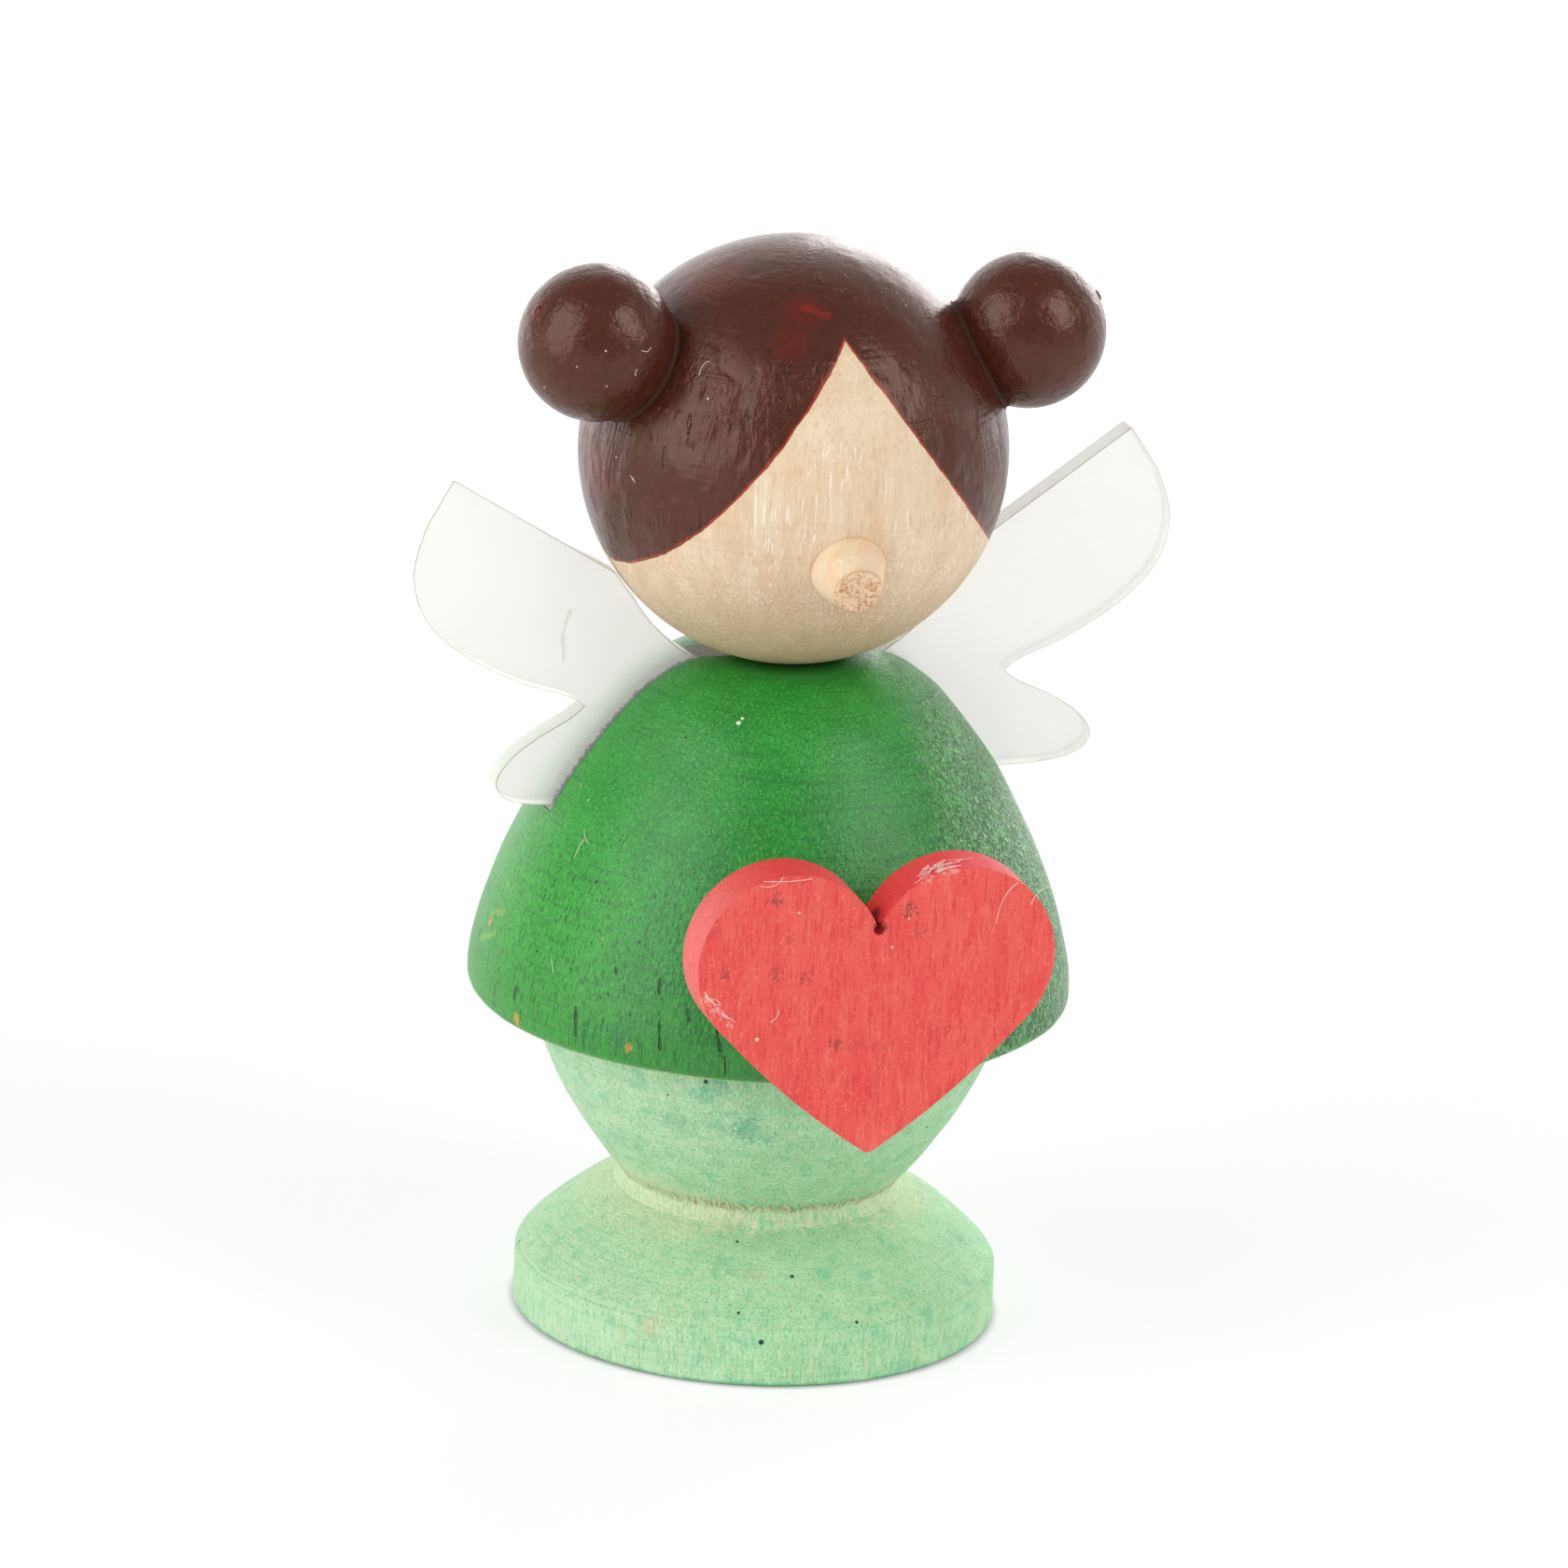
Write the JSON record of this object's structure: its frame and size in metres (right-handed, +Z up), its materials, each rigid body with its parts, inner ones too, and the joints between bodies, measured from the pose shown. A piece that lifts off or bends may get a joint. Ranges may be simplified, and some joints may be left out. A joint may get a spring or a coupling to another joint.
{
  "type": "wooden fairy figure",
  "caption": "Small turned wooden fairy doll with ball head, bun hair, peg nose, clear wing plate, round foot and a flat heart on its dress.",
  "frame": {"origin": "middle of the foot's flat underside", "axes": "+Z up along the turning axis, -Y towards the nose and the heart, +X to the right as seen from the front"},
  "size_m": [0.042, 0.0356, 0.06],
  "materials": {
    "mint_wood": "mint green stain on turned wood, matt",
    "green_wood": "green stain on turned wood, satin",
    "natural_wood": "bare light hardwood, clear satin coat",
    "brown_paint": "dark brown satin paint on wood",
    "frosted_plate": "translucent frosted sheet, milky white",
    "red_wood": "salmon red stain on sawn wood, matt"
  },
  "bodies": {
    "root": {"lower_body": "mint_wood", "dress": "green_wood", "wings": "frosted_plate", "neck_dowel": "natural_wood", "head": "natural_wood", "nose": "natural_wood", "bun_left": "brown_paint", "bun_right": "brown_paint", "heart": "red_wood"}
  },
  "joints": []
}
